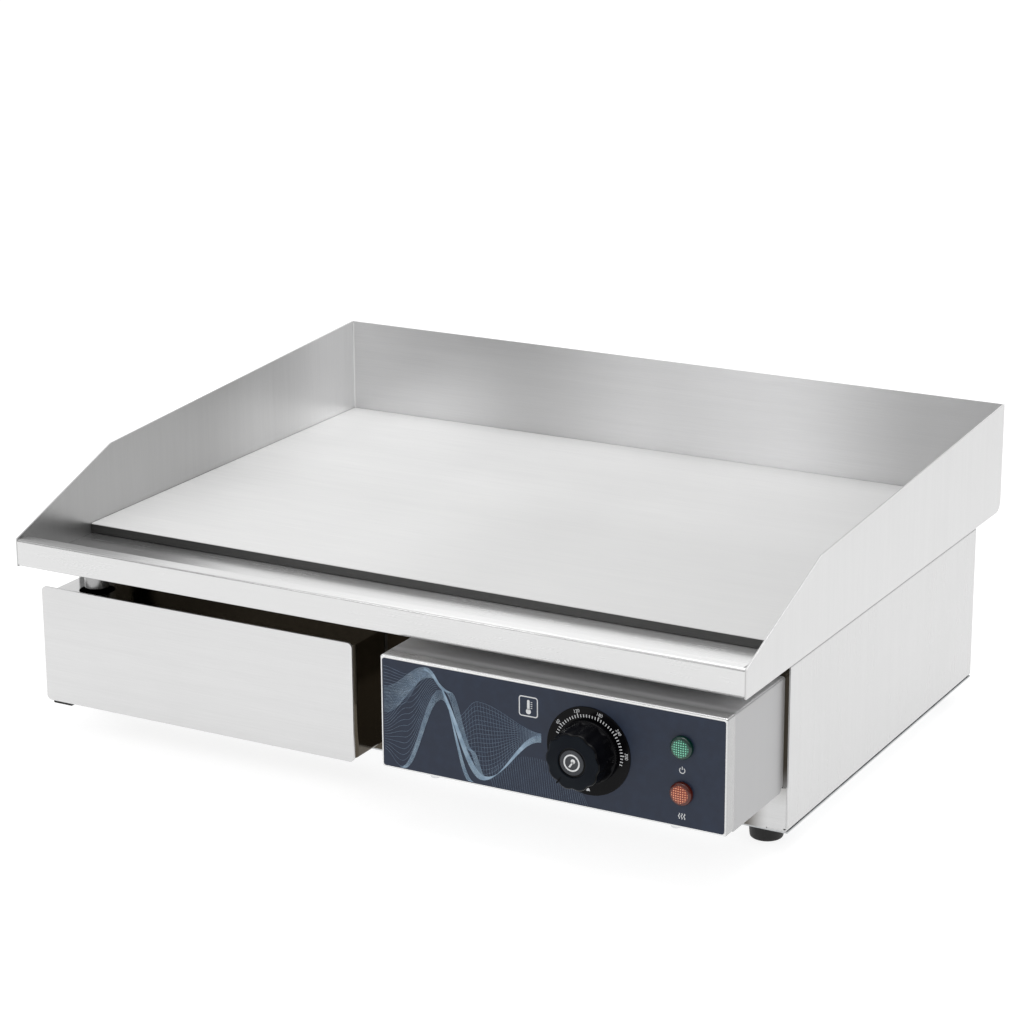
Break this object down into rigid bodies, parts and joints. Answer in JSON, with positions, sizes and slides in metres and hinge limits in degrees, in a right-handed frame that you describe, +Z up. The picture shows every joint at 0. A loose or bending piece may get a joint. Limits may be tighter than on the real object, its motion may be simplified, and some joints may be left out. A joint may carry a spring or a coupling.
{
  "type": "electric griddle",
  "caption": "Countertop electric griddle: guarded steel plate over a grease trough, pull-out grease drawer, and a front control box with a heat knob and lamps.",
  "frame": {"origin": "on the surface that the feet stand on, under the middle of the overall footprint, knob included", "axes": "+Z up, +Y to the back guard, +X to the right as the user faces the knob"},
  "size_m": [0.55, 0.4784, 0.2075],
  "materials": {
    "brushed_sheet": "fine brushed stainless sheet",
    "polished_sheet": "near mirror stainless sheet",
    "ground_plate": "ground and brushed thick steel plate",
    "inner_sheet": "plain galvanised sheet",
    "panel_film": "satin dark printed film",
    "black_plastic": "glossy black moulding",
    "knob_face": "satin black moulding",
    "green_lens": "translucent green acrylic",
    "red_lens": "translucent orange red acrylic",
    "white_nylon": "white nylon",
    "black_rubber": "black rubber",
    "zinc_fastener": "zinc plated steel",
    "element_sheath": "annealed stainless sheath",
    "insulation": "white mineral fibre board",
    "copper_tube": "drawn copper",
    "brass": "machined brass",
    "ceramic": "glazed ceramic"
  },
  "bodies": {
    "griddle": {"side_guard_left": "brushed_sheet", "side_guard_right": "brushed_sheet", "back_guard": "brushed_sheet", "trough_tray": "polished_sheet", "griddle_plate": "ground_plate", "drain_pipe": "polished_sheet", "side_panel_left": "brushed_sheet", "side_panel_right": "brushed_sheet", "front_panel": "polished_sheet", "rear_panel": "brushed_sheet", "base_plate": "inner_sheet", "drawer_rail_left": "inner_sheet", "drawer_rail_right": "inner_sheet", "control_box_shell": "brushed_sheet", "control_box_bottom": "inner_sheet", "control_panel": "brushed_sheet", "panel_overlay": "panel_film", "box_screws": "zinc_fastener", "dial_plate": "black_plastic", "thermostat_body": "ceramic", "thermostat_nut": "zinc_fastener", "power_lamp_lens": "green_lens", "heat_lamp_lens": "red_lens", "lamp_bodies": "white_nylon", "lamp_rings": "white_nylon", "foot_front_left": "black_rubber", "foot_front_right": "black_rubber", "foot_rear_left": "black_rubber", "foot_rear_right": "black_rubber", "foot_screws": "zinc_fastener", "foot_nuts": "zinc_fastener", "heating_element_left": "element_sheath", "heating_element_right": "element_sheath", "element_clamp_bars": "inner_sheet", "clamp_studs": "zinc_fastener", "clamp_nuts": "zinc_fastener", "heat_shield": "inner_sheet", "insulation_board": "insulation", "sensing_bulb": "copper_tube", "bulb_strap": "inner_sheet", "capillary_tube": "copper_tube", "wiring_harness": "black_rubber", "panel_grommet": "black_rubber", "overheat_cutout": "ceramic", "terminal_block": "ceramic", "earth_stud": "brass", "cable_gland": "black_plastic", "gland_nut": "black_plastic", "rear_screws": "zinc_fastener"},
    "drawer": {"drawer_front": "brushed_sheet", "drawer_box": "polished_sheet", "drawer_cover": "polished_sheet", "drawer_pad": "black_rubber"},
    "heat_knob": {"knob": "black_plastic", "knob_cap": "knob_face", "thermostat_spindle": "zinc_fastener"}
  },
  "joints": [
    {"name": "drawer_slide", "type": "slide", "parent": "griddle", "child": "drawer", "axis": [0, -1, 0], "range_m": [0, 0.125]},
    {"name": "knob_turn", "type": "hinge", "parent": "griddle", "child": "heat_knob", "pos_m": [0.1767, -0.21615, 0.0823], "axis": [0, 1, 0], "range_deg": [-35, 245]}
  ]
}
